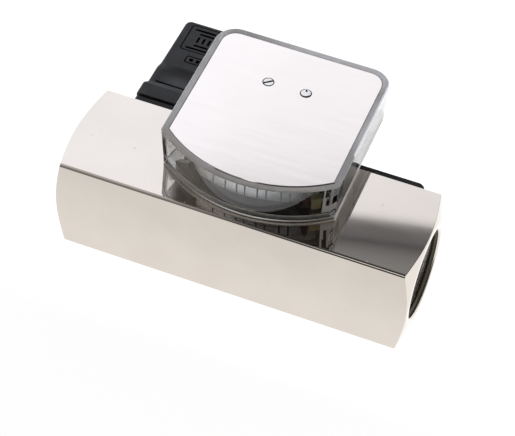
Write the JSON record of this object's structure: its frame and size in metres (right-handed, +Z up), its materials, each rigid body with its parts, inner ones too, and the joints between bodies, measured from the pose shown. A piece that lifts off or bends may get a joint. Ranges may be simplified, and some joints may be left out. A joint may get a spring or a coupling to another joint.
{
  "type": "variable area flow meter",
  "caption": "Square nickel-plated in-line flow meter with threaded ports, a sprung magnetic piston, a pointer under a clear curved-front housing and a rear switch head with plug.",
  "frame": {"origin": "middle of the bar's flat underside, under the flow bore", "axes": "+X along the flow bore towards the inlet port, +Y towards the switch head at the back, +Z up through the indicator"},
  "size_m": [0.132, 0.0924, 0.0573],
  "materials": {
    "nickel": "polished nickel plating on brass",
    "lid": "polished metal sheet",
    "brass": "turned brass",
    "steel": "stainless steel",
    "spring_steel": "spring steel wire",
    "magnet": "sintered ferrite",
    "rubber": "black elastomer",
    "clear": "clear moulded acrylic",
    "passivated": "dull passivated sheet steel",
    "scale_white": "white enamel with dark marks",
    "pointer_black": "black with a red tip",
    "black_plastic": "black moulded polyamide",
    "plug_plastic": "black moulded polyamide, fine texture",
    "board": "green laminate",
    "reed_glass": "glass capsule",
    "lead": "insulated wire",
    "contact": "tinned brass"
  },
  "bodies": {
    "meter": {"meter_body": "nickel", "measuring_sleeve": "brass", "sleeve_o_ring": "rubber", "inlet_spider": "steel", "outlet_spider": "steel", "guide_rod": "steel", "retaining_ring": "spring_steel", "return_spring": "spring_steel", "indicator_gasket": "rubber", "indicator_housing": "clear", "indicator_base_screws": "steel", "lid_plate": "lid", "lid_screw": "steel", "lid_stud": "steel", "lid_posts": "brass", "bearing_bridge": "passivated", "upper_bearing": "brass", "lower_bearing": "brass", "scale_carrier": "passivated", "scale_band": "scale_white", "clamp_washers": "steel", "clamp_screws": "steel"},
    "piston": {"piston": "brass", "piston_magnet": "magnet", "piston_cap": "brass"},
    "pointer": {"pointer": "pointer_black", "follower_magnet": "magnet", "pivot_arbor": "steel"},
    "switch_head": {"switch_housing": "black_plastic", "switch_cover": "black_plastic", "switch_cover_screws": "steel", "switch_board": "board", "reed_switch": "reed_glass", "switch_leads": "lead", "contact_carrier": "black_plastic", "contact_blades": "contact", "connector_gasket": "rubber", "plug_housing": "plug_plastic", "plug_insert": "black_plastic", "plug_terminal_screws": "steel", "plug_screw": "steel", "gland_seal": "rubber", "gland_washer": "black_plastic", "gland_nut": "plug_plastic"}
  },
  "joints": [
    {"name": "piston_stroke", "type": "slide", "parent": "meter", "child": "piston", "axis": [-1, 0, 0], "range_m": [0, 0.0252], "stiffness_N_per_m": 60, "springref_m": -0.02, "deforming": ["return_spring"]},
    {"name": "pointer_swing", "type": "hinge", "parent": "meter", "child": "pointer", "pos_m": [0.001, 0.0305, 0.0472], "axis": [0, 0, -1], "range_deg": [0, 44.2]},
    {"name": "switch_point_setting", "type": "slide", "parent": "meter", "child": "switch_head", "axis": [1, 0, 0], "range_m": [-0.005, 0.005]}
  ],
  "couplings": [
    {"joint": "pointer_swing", "follows": "piston_stroke", "rad_per_m": 30.474}
  ]
}
